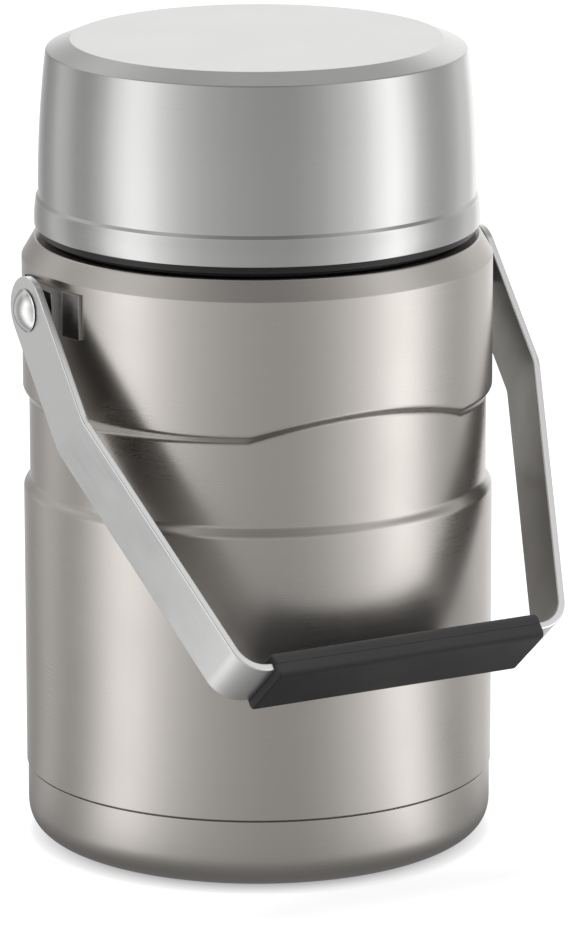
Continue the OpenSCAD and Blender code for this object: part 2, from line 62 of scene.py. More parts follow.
world = bpy.data.worlds.new("white_studio")
world.use_nodes = True
world.node_tree.nodes["Background"].inputs["Color"].default_value = (1, 1, 1, 1)
world.node_tree.nodes["Background"].inputs["Strength"].default_value = 1
bpy.context.scene.world = world

# Brightness of the cloth at each angle round the jar, from the camera's side,
# in degrees to the right
cloth_levels = [
    (-180, 1.10), (-163, 0.52), (-150, 0.36), (-140, 0.46), (-130, 0.73), (-120, 0.66), (-110, 0.45),
    (-100, 0.45), (-90, 0.67), (-80, 1.17), (-70, 1.50), (-60, 1.42), (-50, 1.03), (-38, 0.75), (-24, 0.59),
    (-10, 0.51), (4, 0.46), (18, 0.45), (32, 0.55), (44, 0.75), (56, 0.98), (66, 1.41), (76, 1.77), (86, 1.40),
    (96, 0.78), (106, 0.55), (116, 0.51), (126, 0.62), (138, 0.85), (150, 0.82), (163, 1.20), (180, 1.10)]
camera_side = math.degrees(math.atan2(camera_place.y, camera_place.x))
near_spread = 0.031

# The roof takes over from the cloth between two heights. Its level grows on
# the way from the camera to the far left. All of it is in metres.
roof_heights, roof_share = (1.2, 2.1), 0.55
roof_span, roof_levels = (0.65, 1.7), (0.07, 1.1)
tent_r = 3


def node_with(tree, kind, **settings):
    """A shader node with its settings; input_NAME sets an input that nothing is linked to."""
    node = tree.nodes.new("ShaderNode" + kind)
    for name, value in settings.items():
        if name.startswith("input_"):
            socket = name.removeprefix("input_")
            node.inputs[int(socket) if socket.isdigit() else socket.replace("_", " ")].default_value = value
        else:
            setattr(node, name, value)
    return node


def ranged(tree, source, span, values, kind="LINEAR"):
    """A number that goes from the first of the values to the second while the source crosses its span."""
    node = node_with(tree, "MapRange", interpolation_type=kind, input_1=span[0], input_2=span[1],
                     input_3=values[0], input_4=values[1])
    tree.links.new(source, node.inputs[0])
    return node.outputs[0]


def cloth_brightness(tree):
    """The cloth's brightness by the angle round the jar, blended into the roof's with height.

    Close to the jar the pattern is spread, so that paper there, which glows with it as a painted reflection,
    mirrors as cloth far off does."""
    link = tree.links.new
    place = node_with(tree, "TexCoord").outputs["Object"]
    parts = node_with(tree, "SeparateXYZ")
    angle = node_with(tree, "Math", operation="ARCTAN2")
    share = node_with(tree, "Math", operation="MULTIPLY_ADD", input_1=1 / math.tau,
                      input_2=0.5 - camera_side / 360)
    wrapped = node_with(tree, "Math", operation="FRACT")
    ground = node_with(tree, "VectorMath", operation="MULTIPLY", input_1=(1, 1, 0))
    distance = node_with(tree, "VectorMath", operation="LENGTH")
    spread = node_with(tree, "Math", operation="DIVIDE", input_0=near_spread)
    centred = node_with(tree, "Math", operation="SUBTRACT", input_1=0.5)
    mirrored = node_with(tree, "Math", operation="MULTIPLY_ADD")
    levels = node_with(tree, "ValToRGB")
    levels.color_ramp.interpolation = "EASE"
    stops = levels.color_ramp.elements
    while len(stops) < len(cloth_levels):
        stops.new(0.5)
    for stop, (degrees, level) in zip(stops, cloth_levels):
        stop.position = degrees / 360 + 0.5
        stop.color = (level, level, level, 1)
    behind = node_with(tree, "VectorMath", operation="DOT_PRODUCT", input_1=(ahead - right) * 0.7)
    top = node_with(tree, "Mix", data_type="RGBA")
    link(place, parts.inputs[0])
    link(parts.outputs["Y"], angle.inputs[0])
    link(parts.outputs["X"], angle.inputs[1])
    link(angle.outputs[0], share.inputs[0])
    link(share.outputs[0], wrapped.inputs[0])
    link(place, ground.inputs[0])
    link(ground.outputs["Vector"], distance.inputs[0])
    link(distance.outputs["Value"], spread.inputs[1])
    link(wrapped.outputs[0], centred.inputs[0])
    link(centred.outputs[0], mirrored.inputs[0])
    link(spread.outputs[0], mirrored.inputs[1])
    link(wrapped.outputs[0], mirrored.inputs[2])
    link(mirrored.outputs[0], levels.inputs[0])
    link(place, behind.inputs[0])
    link(ranged(tree, parts.outputs["Z"], roof_heights, (0, roof_share), "SMOOTHSTEP"), top.inputs[0])
    link(levels.outputs[0], top.inputs[6])
    link(ranged(tree, behind.outputs["Value"], roof_span, roof_levels), top.inputs[7])
    return top.outputs[2]


bm = bmesh.new()
bmesh.ops.create_uvsphere(bm, u_segments=64, v_segments=32, radius=tent_r)
bmesh.ops.reverse_faces(bm, faces=bm.faces)
tent = bpy.data.objects.new("cloth_tent", bpy.data.meshes.new("cloth_tent"))
bm.to_mesh(tent.data)
bm.free()
bpy.context.collection.objects.link(tent)
tent.visible_camera = False
cloth = bpy.data.materials.new("tent_cloth")
cloth.use_nodes = True
cloth.node_tree.nodes.remove(cloth.node_tree.nodes["Principled BSDF"])
glow = node_with(cloth.node_tree, "Emission")
cloth.node_tree.links.new(cloth_brightness(cloth.node_tree), glow.inputs["Color"])
cloth.node_tree.links.new(glow.outputs[0], cloth.node_tree.nodes["Material Output"].inputs["Surface"])
tent.data.materials.append(cloth)

# A lamp under the roof lights the plastics and the paper. The steel doesn't
# mirror it.
lamp = bpy.data.objects.new("ceiling_lamp", bpy.data.lights.new("ceiling_lamp", "AREA"))
lamp.data.shape = "DISK"
lamp.data.size = 0.9
lamp.data.energy = 40
lamp.location = (0, 0, 2.2)
lamp.visible_camera = lamp.visible_glossy = False
bpy.context.collection.objects.link(lamp)

# Paper: white to the camera, with a share of the jar's real shadow and a
# painted shadow in a dark ring close round its foot. To the steel and the
# plastics it glows with the cloth's pattern as a painted reflection of the
# cloth that lights it, darkened near the foot by painted shade. To scattered
# rays it is dark grey, a painted shade.
paper_r, paper_gap, paper_white, bounce_grey_painted_shade = 2.9, 0.00005, (0.97, 0.97, 0.97, 1), (0.15, 0.15, 0.15, 1)
glow_share, foot_edge = 0.72, 0.062
painted_foot_shadow_span, painted_foot_shadow_levels = (0.05, 0.064), (0.45, 1.17)
painted_near_shade_span, painted_near_shade_levels, painted_shade_fade_span = (foot_edge, 0.09), (0.2, 0.38), (foot_edge, 0.115)
painted_dimming_span, painted_dimming_levels = (0.08, 0.7), (0.9, 1.05)
bm = bmesh.new()
bmesh.ops.create_circle(bm, cap_ends=True, radius=paper_r, segments=64)
bmesh.ops.translate(bm, verts=bm.verts, vec=(0, 0, -paper_gap))
paper_sheet = bpy.data.objects.new("paper", bpy.data.meshes.new("paper"))
bm.to_mesh(paper_sheet.data)
bm.free()
bpy.context.collection.objects.link(paper_sheet)
paper = bpy.data.materials.new("white_paper")
paper.use_nodes = True
tree = paper.node_tree
tree.nodes.remove(tree.nodes["Principled BSDF"])
link = tree.links.new
matt = node_with(tree, "BsdfDiffuse")
# To scattered rays the paper is dark grey instead of white: painted shade on the faces that look down at it.
bounce = node_with(tree, "Mix", data_type="RGBA", input_6=paper_white, input_7=bounce_grey_painted_shade)
glow = node_with(tree, "Emission")
rays = node_with(tree, "LightPath")
seen = node_with(tree, "Math", operation="MULTIPLY", input_1=glow_share)
mirrored_share = node_with(tree, "Math", operation="ADD")
share = node_with(tree, "Math", operation="ADD", use_clamp=True)
place = node_with(tree, "TexCoord")
distance = node_with(tree, "VectorMath", operation="LENGTH")
away = distance.outputs["Value"]
mirrored = node_with(tree, "VectorMath", operation="SCALE")
shaded = node_with(tree, "Mix", data_type="RGBA")
shown = node_with(tree, "Mix", data_type="RGBA")
mix = node_with(tree, "MixShader")
link(rays.outputs["Is Diffuse Ray"], bounce.inputs[0])
link(bounce.outputs[2], matt.inputs["Color"])
link(rays.outputs["Is Camera Ray"], seen.inputs[0])
link(rays.outputs["Is Glossy Ray"], mirrored_share.inputs[0])
link(rays.outputs["Is Transmission Ray"], mirrored_share.inputs[1])
link(seen.outputs[0], share.inputs[0])
link(mirrored_share.outputs[0], share.inputs[1])
link(place.outputs["Object"], distance.inputs[0])
# To mirrored rays the paper glows with the cloth's pattern: a painted reflection.
link(cloth_brightness(tree), mirrored.inputs[0])
# The cloth's pattern on the paper is dimmed towards the jar: painted shade.
link(ranged(tree, away, painted_dimming_span, painted_dimming_levels, "SMOOTHSTEP"), mirrored.inputs["Scale"])
# Close round the foot, mirrored rays see an even painted shade in place of the cloth's pattern.
link(ranged(tree, away, painted_shade_fade_span, (0, 1), "SMOOTHSTEP"), shaded.inputs[0])
link(ranged(tree, away, painted_near_shade_span, painted_near_shade_levels), shaded.inputs[6])
link(mirrored.outputs["Vector"], shaded.inputs[7])
link(rays.outputs["Is Camera Ray"], shown.inputs[0])
link(shaded.outputs[2], shown.inputs[6])
# To the camera the glow is darkened close round the foot: a painted shadow.
link(ranged(tree, away, painted_foot_shadow_span, painted_foot_shadow_levels, "SMOOTHSTEP"), shown.inputs[7])
link(shown.outputs[2], glow.inputs["Color"])
link(share.outputs[0], mix.inputs[0])
link(matt.outputs[0], mix.inputs[1])
link(glow.outputs[0], mix.inputs[2])
link(mix.outputs[0], tree.nodes["Material Output"].inputs["Surface"])
paper_sheet.data.materials.append(paper)

# Outer shell: one drawn sheet of stainless steel with a joggled skirt, a waist
# pressed in with soft steps, an arched panel over the waist at the front, a
# creased shoulder and the neck. It is brushed round on a lathe.
mm = 0.001
sheet = 0.8
body_r, waist_r, neck_r = 62.5, 60.84, 53.6
base_r, skirt_low, joggle_r, seam_z = 62.15, 9.2, 61.25, 20.0
fall_z, waist_z = 95.8, 99.2
rise_z, band_z = 120.3, 123.9
shoulder_z, neck_z, rim_z = 158.7, 163.6, 175.1
slope_r, slope_high, shoulder_edge, crest_r, crest_rise = 60.01, 162.9, 0.9, 58.8, 0.5
crest_foot_r, ledge_r = 57.3, 56.5
arch_half, arch_rise, arch_low, arch_high, arch_margin = 31.8, 5.3, 108.0, 142.0, 0.5
thread_h, thread_pitch, neck_thread_low = 0.3, 3.4, 166.0
noise_span, fine_depth = (0.3, 0.7), 0.00005


def soft_step(r0, z0, r1, z1, parts):
    """Radii and heights of a step with both of its ends eased."""
    steps = [i / parts for i in range(parts + 1)]
    return [(r0 + (r1 - r0) * (1 - math.cos(math.pi * u)) / 2, z0 + (z1 - z0) * u) for u in steps]


def arc(r, z, radius, start, end, parts):
    """Points of an arc round a centre, from one angle to another in degrees."""
    angles = [math.radians(start + (end - start) * i / parts) for i in range(parts + 1)]
    return [(r + radius * math.cos(a), z + radius * math.sin(a)) for a in angles]


def rounded(points, radius, parts=4, ring=False):
    """The outline with its corners rounded.

    An open one keeps its two ends, and a corner that is nearly straight stays."""
    straight, most = math.radians(87), 0.48
    out = []
    for i, corner in enumerate(points):
        if not ring and i in (0, len(points) - 1):
            out.append(corner)
            continue
        here = Vector(corner)
        to_last = Vector(points[i - 1]) - here
        to_next = Vector(points[(i + 1) % len(points)]) - here
        half = to_last.angle(to_next) / 2
        if half > straight:
            out.append(corner)
            continue
        reach = min(radius / math.tan(half), to_last.length * most, to_next.length * most)
        start, end = to_last.normalized() * reach, to_next.normalized() * reach
        middle = (start + end) / 2
        centre = middle.normalized() * (reach / math.cos(half))
        for k in range(parts + 1):
            swept = Matrix.Rotation((start - centre).angle_signed(end - centre) * -k / parts, 2)
            out.append(tuple(here + centre + swept @ (start - centre)))
    return out


def piece_from(name, bm, material, wall=0.0, sharp=35):
    """The finished mesh as an object; a wall gives a skin that thickness inwards."""
    mesh = bpy.data.meshes.new(name)
    bm.to_mesh(mesh)
    bm.free()
    mesh.shade_smooth()
    mesh.set_sharp_from_angle(angle=math.radians(sharp))
    mesh.materials.append(material)
    piece = bpy.data.objects.new(name, mesh)
    bpy.context.collection.objects.link(piece)
    if wall:
        thickness = piece.modifiers.new("sheet_thickness", "SOLIDIFY")
        thickness.thickness, thickness.offset, thickness.use_even_offset = wall * mm, -1, True
    shading = piece.modifiers.new("even_shading", "WEIGHTED_NORMAL")
    shading.keep_sharp = True
    return piece


def turned(outline, steps=288, closed=True):
    """A form turned round the jar's axis from radii and heights in millimetres."""
    bm = bmesh.new()
    line = [bm.verts.new((0, -max(r, 0) * mm, z * mm)) for r, z in outline]
    for a, b in zip(line, line[1:] + line[:1] if closed else line[1:]):
        bm.edges.new((a, b))
    bmesh.ops.spin(bm, geom=bm.verts[:] + bm.edges[:], cent=(0, 0, 0), axis=(0, 0, 1), angle=math.tau,
                   steps=steps, use_merge=True)
    bmesh.ops.remove_doubles(bm, verts=bm.verts, dist=1e-6)
    bmesh.ops.recalc_face_normals(bm, faces=bm.faces)
    return bm


def fit_to_body(piece, body, node):
    """Lets the piece move with its body in place of that node of the frame."""
    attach(piece, body)
    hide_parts(node)


def new_surface(name, metallic):
    """A new material with its node tree and its shader's inputs."""
    surface = bpy.data.materials.new(name)
    surface.use_nodes = True
    look = surface.node_tree.nodes["Principled BSDF"].inputs
    look["Metallic"].default_value = metallic
    return surface, surface.node_tree, look


def tinted(tree, source, colour, share):
    """The colour, that share darker at one end of the source and lighter at the other."""
    node = node_with(tree, "Mix", data_type="RGBA", input_6=(*[c * (1 - share) for c in colour], 1),
                     input_7=(*[min(c * (1 + share), 1) for c in colour], 1))
    tree.links.new(source, node.inputs[0])
    return node.outputs[2]


def wander(tree, source, middle, share):
    """A number that wanders that share to either side of its middle."""
    return ranged(tree, source, noise_span, (middle - share, middle + share))


def relief(tree, source, strength, depth):
    """The surface's tilt from a fine relief of that depth in metres."""
    node = node_with(tree, "Bump", input_Strength=strength, input_Distance=depth)
    tree.links.new(source, node.inputs["Height"])
    return node.outputs["Normal"]


def brushed_steel(name, colour, roughness, grain, smudge=0.03):
    """Steel brushed round the jar's axis: level lines on a wall, rings on a flat."""
    steel, tree, look = new_surface(name, 1)
    link = tree.links.new
    place = node_with(tree, "TexCoord").outputs["Object"]
    along = node_with(tree, "Mapping", input_Scale=(22, 22, 2600))
    level = node_with(tree, "VectorMath", operation="MULTIPLY", input_1=(2600, 2600, 0))
    radius = node_with(tree, "VectorMath", operation="LENGTH")
    lines = node_with(tree, "TexNoise", noise_dimensions="4D", input_Scale=1, input_Detail=1.5,
                      input_Roughness=0.6)
    clouds = node_with(tree, "TexNoise", input_Scale=38, input_Detail=4)
    line, cloud = lines.outputs["Fac"], clouds.outputs["Fac"]
    rough = node_with(tree, "Math", operation="ADD")
    link(place, along.inputs["Vector"])
    link(place, level.inputs[0])
    link(place, clouds.inputs["Vector"])
    link(level.outputs["Vector"], radius.inputs[0])
    link(along.outputs["Vector"], lines.inputs["Vector"])
    link(radius.outputs["Value"], lines.inputs["W"])
    link(wander(tree, line, roughness, share=0.05 * grain), rough.inputs[0])
    link(wander(tree, cloud, 0, share=smudge), rough.inputs[1])
    link(rough.outputs[0], look["Roughness"])
    link(tinted(tree, line, colour, share=0.025), look["Base Color"])
    link(relief(tree, line, strength=0.04 * grain, depth=fine_depth), look["Normal"])
    return steel


def thread(bm, radius, height, low, turns, width=1.6):
    """A rounded thread wound on a wall, inwards if its height is negative.

    Its root is sunk into the wall, and it runs out at both ends."""
    steps, run_out, sunk, body = 96, 14, 0.3, set(bm.verts)
    root = radius - math.copysign(sunk, height)
    crest = [(root, -width / 2), (radius, -width / 2), (radius + height, -width / 5),
             (radius + height, width / 5), (radius, width / 2), (root, width / 2)]
    ring = [bm.verts.new((0, -r * mm, (low + z) * mm)) for r, z in crest]
    edges = [bm.edges.new((a, b)) for a, b in zip(ring, ring[1:] + ring[:1])]
    bmesh.ops.contextual_create(bm, geom=edges)
    made = bmesh.ops.spin(bm, geom=ring + edges, cent=(0, 0, 0), axis=(0, 0, 1), angle=math.tau * turns,
                          dvec=(0, 0, thread_pitch * mm / steps), steps=int(steps * turns))["geom_last"]
    bmesh.ops.contextual_create(bm, geom=[g for g in made if isinstance(g, bmesh.types.BMEdge)])
    for v in set(bm.verts) - body:
        turn_share = (v.co.z / mm - low) / thread_pitch
        from_end = min(turn_share, turns - turn_share) * steps
        r = v.co.xy.length
        if from_end < run_out and (r / mm - radius) / height > 0.2:
            v.co.xy *= (radius * mm + (r - radius * mm) * max(0.0, from_end / run_out)) / r


# A height that is a plain number only parts a straight wall, so that its
# shading stays even.
body_steel = brushed_steel("satin_body_steel", (0.575, 0.545, 0.515), roughness=0.30, grain=0.4)
shell_line = (
    [(joggle_r, skirt_low)]
    + rounded([(joggle_r, 10), (joggle_r, seam_z), (body_r, seam_z), (body_r, 24), (body_r, 60)], radius=0.3)
    + [(body_r, 84), (body_r, 90)]
    + soft_step(body_r, fall_z, waist_r, waist_z, 16)
    + [(waist_r, z) for z in (102, 106, 110, 114, 118)]
    + soft_step(waist_r, rise_z, body_r, band_z, 14)
    + [(body_r, z) for z in (125, 128, 132, 137, 142, 150)]
    + rounded([(body_r, 155), (body_r, shoulder_z), (slope_r, slope_high)], radius=0.6)[:-1]
    + arc(crest_r, neck_z + crest_rise - shoulder_edge, shoulder_edge, 31, 90, 6)
    + rounded([(crest_foot_r, neck_z + 0.1), (ledge_r, neck_z), (neck_r + 0.1, neck_z), (neck_r, neck_z + 2),
               (neck_r, 170)], radius=0.6)
    + [(neck_r, rim_z - sheet)])
bm = turned(shell_line, closed=False)
arch_r = (arch_half ** 2 + arch_rise ** 2) / (2 * arch_rise)
for v in bm.verts:
    x, y, z = v.co / mm
    if y < 0 and abs(x) < arch_half and arch_low < z < arch_high:
        lift = math.sqrt(arch_r ** 2 - x ** 2) - (arch_r - arch_rise)
        v.co.z += lift * mm * min(1, (z - arch_low) / (rise_z - arch_margin - arch_low),
                                  (arch_high - z) / (arch_high - band_z - arch_margin))
outer_shell = piece_from("outer_shell_skin", bm, body_steel, wall=sheet)
fit_to_body(outer_shell, "jar", "outer_shell")
bm = bmesh.new()
thread(bm, neck_r, thread_h, neck_thread_low, turns=1.9)
bmesh.ops.recalc_face_normals(bm, faces=bm.faces)
neck_thread = piece_from("neck_thread", bm, body_steel)
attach(neck_thread, "jar")

# Base cup: drawn steel pushed up over the shell's skirt and welded, so that a
# fine seam shows. Its foot is rounded, and it stands on a flat ring round a
# shallow recess.
stand_r, foot_w, foot_h, foot_power = 48.85, 13.3, 9.86, 2 / 2.53
recess_h, recess_r, stand_inner_r, cup_high, cup_lip = 2.5, 41.95, 44.45, 19.6, 0.45
quarter = [math.radians(90 - 90 * i / 40) for i in range(41)]
foot_line = [(stand_r + foot_w * math.cos(a) ** foot_power, foot_h * (1 - math.sin(a) ** foot_power))
             for a in quarter]
cup_line = (
    [(0, recess_h)] + rounded([(38, recess_h), (recess_r, recess_h), (stand_inner_r, 0), (47, 0)], radius=0.8)
    + foot_line + [(base_r, 12), (base_r, 17)]
    + rounded([(base_r, 18), (base_r, cup_high), (base_r - cup_lip, cup_high)], radius=0.3))
base_cup = piece_from("base_cup_skin", turned(cup_line, closed=False), body_steel, wall=sheet)
fit_to_body(base_cup, "jar", "base_cup")

# Vacuum space: a dished steel plate closes it, a bead of solder seals the hole
# that it was pumped out by, a getter pill soaks up the last gas, and copper
# foil round the vessel throws the heat back.
pore_depth = 0.0001


def plain_metal(name, colour, roughness, mottle_scale, bump=0.1):
    """Metal as it comes from the press or the melt, with a soft mottle."""
    metal, tree, look = new_surface(name, 1)
    link = tree.links.new
    place = node_with(tree, "TexCoord")
    noise = node_with(tree, "TexNoise", input_Scale=mottle_scale, input_Detail=5)
    mottle = noise.outputs["Fac"]
    link(place.outputs["Object"], noise.inputs["Vector"])
    link(wander(tree, mottle, roughness, share=0.07), look["Roughness"])
    link(tinted(tree, mottle, colour, share=0.1), look["Base Color"])
    link(relief(tree, mottle, strength=bump, depth=pore_depth), look["Normal"])
    return metal


def dress(node, material):
    """Gives a node of the frame its material; its shape is already the piece's."""
    slots = frame["nodes"][node].data.materials
    slots.clear()
    slots.append(material)


inner_steel = brushed_steel("inner_steel", (0.60, 0.59, 0.575), roughness=0.27, grain=0.35)
solder = plain_metal("solder", (0.42, 0.42, 0.43), roughness=0.35, mottle_scale=900)
getter_metal = plain_metal("getter_metal", (0.30, 0.30, 0.31), roughness=0.55, mottle_scale=1400, bump=0.3)
copper_foil = plain_metal("copper_foil", (0.86, 0.50, 0.36), roughness=0.22, mottle_scale=120, bump=0.25)
dress("vacuum_plate", inner_steel)
dress("seal_plug", solder)
dress("getter", getter_metal)
dress("heat_foil", copper_foil)

# Inner vessel: a wide drawn can of stainless steel with a narrower throat. Its
# rim is turned out over the shell's neck and welded there.
vessel_r, mouth_r, floor_z, floor_corner = 55.5, 51.5, 15.0, 5.0
throat_low, throat_high, throat_mid, throat_shift, lip_edge = 155.6, 161.6, 168, 0.2, 0.3
vessel_inside = (
    [(0, floor_z), (30, floor_z)]
    + arc(vessel_r - floor_corner, floor_z + floor_corner, floor_corner, -90, 0, 12)
    + rounded([(vessel_r, 60), (vessel_r, throat_low), (mouth_r, throat_high), (mouth_r, throat_mid)],
              radius=3, parts=8)
    + [(mouth_r, rim_z - lip_edge), (mouth_r + lip_edge, rim_z)])
vessel_outside = (
    [(neck_r - lip_edge, rim_z), (neck_r, rim_z - lip_edge), (neck_r, rim_z - sheet),
     (mouth_r + sheet, rim_z - sheet)]
    + rounded([(mouth_r + sheet, throat_mid), (mouth_r + sheet, throat_high + throat_shift),
               (vessel_r + sheet, throat_low + throat_shift), (vessel_r + sheet, 60)], radius=3, parts=8)
    + arc(vessel_r - floor_corner, floor_z + floor_corner, floor_corner + sheet, 0, -90, 12)
    + [(30, floor_z - sheet), (0, floor_z - sheet)])
inner_vessel = piece_from("inner_vessel_skin", turned(vessel_inside + vessel_outside, steps=192), inner_steel)
fit_to_body(inner_vessel, "jar", "inner_vessel")

# Handle brackets: a strip of steel pressed into a box that stands off the
# shell, with two feet that follow the shell and are spot-welded to it.
handle_swing = frame["joints"][0]
pivot_z = handle_swing["pos_m"][2] / mm
bracket_x, bracket_w, bracket_h, foot_span, bracket_t, bracket_edge = 66.0, 17.0, 12.0, 30.6, 0.8, 0.25
foot_parts, weld_gap = (14, 12, 10.4), 0.05
shell_face = body_r + weld_gap


def drawn_out(bm, faces, along):
    """Extrudes faces by a step in millimetres and gives the new geometry back."""
    grown = bmesh.ops.extrude_face_region(bm, geom=faces)["geom"]
    bmesh.ops.translate(bm, vec=[c * mm for c in along],
                        verts=[g for g in grown if isinstance(g, bmesh.types.BMVert)])
    return grown


def softened(bm, edges, offset, segments, clamp=False):
    """Rounds the edges over."""
    bmesh.ops.bevel(bm, geom=edges, offset=offset * mm, offset_type="OFFSET", segments=segments, profile=0.5,
                    affect="EDGES", material=-1, clamp_overlap=clamp)


def on_shell(radius, y):
    """A point of the round shell at that distance from its middle plane."""
    return (math.sqrt(radius ** 2 - y ** 2), y)


def bracket(side):
    foot_r = shell_face + bracket_t
    outside = rounded(
        [on_shell(shell_face, -foot_span / 2), on_shell(foot_r, -foot_span / 2)]
        + [on_shell(foot_r, -y) for y in foot_parts]
        + [on_shell(foot_r, -bracket_w / 2), (bracket_x, -bracket_w / 2), (bracket_x, bracket_w / 2),
           on_shell(foot_r, bracket_w / 2)]
        + [on_shell(foot_r, y) for y in reversed(foot_parts)]
        + [on_shell(foot_r, foot_span / 2), on_shell(shell_face, foot_span / 2)], radius=bracket_edge, parts=5)
    inside = [on_shell(shell_face, y) for y in (14, 9, 4, 0, -4, -9, -14)]
    bm = bmesh.new()
    low = [bm.verts.new((side * x * mm, y * mm, (pivot_z - bracket_h / 2) * mm)) for x, y in outside + inside]
    drawn_out(bm, [bm.faces.new(low)], (0, 0, bracket_h))
    bmesh.ops.recalc_face_normals(bm, faces=bm.faces)
    ends = [f for f in bm.faces if abs(f.normal.z) > 0.9]
    softened(bm, [e for f in ends for e in f.edges], bracket_edge, segments=3)
    return bm


# The brackets' steel is coloured far darker than the shell's, a painted shade for the strap's shadow over them.
bracket_steel = plain_metal("bracket_steel", (0.28, 0.27, 0.26), roughness=0.36, mottle_scale=260, bump=0.06)
for side, node in ((-1, "left_bracket"), (1, "right_bracket")):
    fit_to_body(piece_from(node + "_pressing", bracket(side), bracket_steel), "jar", node)


# Pivots: a domed steel rivet passes through the strap, a nylon washer and the
# bracket on each side, and is set inside the bracket.
def moulded_plastic(name, colour, roughness, pores=2600, bump=0.12, gleam=0.5, clear=0):
    """Plastic with the fine eroded texture of its mould.

    Gleam is its share of mirrored light, and clear the share that passes through."""
    plastic, tree, look = new_surface(name, 0)
    link = tree.links.new
    look["Specular IOR Level"].default_value = gleam
    look["Transmission Weight"].default_value = clear
    place = node_with(tree, "TexCoord").outputs["Object"]
    texture = node_with(tree, "TexNoise", input_Scale=pores, input_Detail=2)
    flow = node_with(tree, "TexNoise", input_Scale=60, input_Detail=3)
    link(place, texture.inputs["Vector"])
    link(place, flow.inputs["Vector"])
    link(wander(tree, flow.outputs["Fac"], roughness, share=0.06), look["Roughness"])
    link(tinted(tree, flow.outputs["Fac"], colour, share=0.1), look["Base Color"])
    link(relief(tree, texture.outputs["Fac"], strength=bump, depth=pore_depth), look["Normal"])
    return plastic


rivet_r, head_r, head_h, head_x = 2.9, 5.8, 2.8, 69.3
set_r, set_x, set_t, head_edge, head_under, head_side = 4.06, 64.35, 0.8, 0.12, 0.25, 0.03
dome_r = (head_r ** 2 + head_h ** 2) / (2 * head_h)
rivet_line = (
    [(0, set_x), (set_r, set_x), (set_r, set_x + set_t), (rivet_r, set_x + set_t), (rivet_r, head_x),
     (head_r - head_under, head_x), (head_r - head_side, head_x + head_edge)]
    + [(dome_r * math.sin(a), head_x + head_h - dome_r * (1 - math.cos(a)))
       for a in [math.asin((head_r - head_edge) / dome_r) * (1 - i / 16) for i in range(17)]])
bm = turned(rivet_line, steps=64)
bmesh.ops.rotate(bm, verts=bm.verts, matrix=Matrix.Rotation(math.radians(90), 3, "Y"))
bmesh.ops.translate(bm, verts=bm.verts, vec=(0, 0, pivot_z * mm))
bmesh.ops.mirror(bm, geom=bm.verts[:] + bm.edges[:] + bm.faces[:], axis="X", merge_dist=1e-6)
bmesh.ops.recalc_face_normals(bm, faces=bm.faces)
rivet_steel = plain_metal("polished_rivet_steel", (0.70, 0.70, 0.695), roughness=0.16, mottle_scale=700,
                          bump=0.03)
fit_to_body(piece_from("handle_rivets_turned", bm, rivet_steel), "jar", "handle_rivets")
dress("pivot_washers", moulded_plastic("washer_plastic", (0.04, 0.04, 0.042), roughness=0.5))

# Handle strap: a flat bar of stainless steel with round ends and broken edges,
# bent to a knee and a corner on each side. Its faces are brushed lengthwise, and
# its inner face is coloured darker as painted shade.
strap_w, strap_t, strap_x, strap_edge = 17.8, 2.0, 68.1, 0.35
arm_straight, arm_slant, crossbar_s = 37.5, math.radians(15.4), 113.15
corner_r, knee_r = 7.6 + strap_t / 2, 8 + strap_t / 2
corner_cuts, knee_cuts, straight_cuts = 24, 8, 3
buffed_from, buffed_to = strap_w / 2 - 0.3, strap_w / 2 - 0.05
crossbar_x = strap_x - (crossbar_s - arm_straight) * math.tan(arm_slant)
corner_turn = math.pi / 2 - arm_slant
corner_reach = corner_r * math.tan(corner_turn / 2)
knee_reach = knee_r * math.tan(arm_slant / 2)
legs = [
    (crossbar_x - corner_reach, 0), (corner_r * corner_turn, corner_turn),
    ((crossbar_s - arm_straight) / math.cos(arm_slant) - corner_reach - knee_reach, 0),
    (knee_r * arm_slant, arm_slant), (arm_straight - knee_reach, 0)]
half_length = sum(length for length, turn in legs)
grip_w, grip_inner_t, grip_inner_r, grip_gap = 20.6, 3.4, 2.0, 1.0
grip_reach = Vector((crossbar_s - grip_inner_t + grip_inner_r, grip_w / 2 - grip_inner_r))
rest_tilt = (math.atan2(grip_reach.y, grip_reach.x)
             + math.asin((body_r + grip_gap + grip_inner_r) / grip_reach.length))
hang = Matrix.Translation((0, 0, pivot_z * mm)) @ Matrix.Rotation(-rest_tilt, 4, "X")


def bent(along, off):
    """Where a point of the flat bar lies once it is bent, across and up from the pivots' middle."""
    place, heading, left = Vector((0, -crossbar_s)), 0.0, abs(along)
    for i, (length, turn) in enumerate(legs):
        step = left if i == len(legs) - 1 else min(left, length)
        if turn:
            radius, swept = length / turn, turn * step / length
            centre = place + radius * Vector((-math.sin(heading), math.cos(heading)))
            heading += swept
            place = centre + radius * Vector((math.sin(heading), -math.cos(heading)))
        else:
            place = place + step * Vector((math.cos(heading), math.sin(heading)))
        left -= step
        if left <= 0:
            break
    place = place + off * Vector((math.sin(heading), -math.cos(heading)))
    return (math.copysign(place.x, along), place.y)


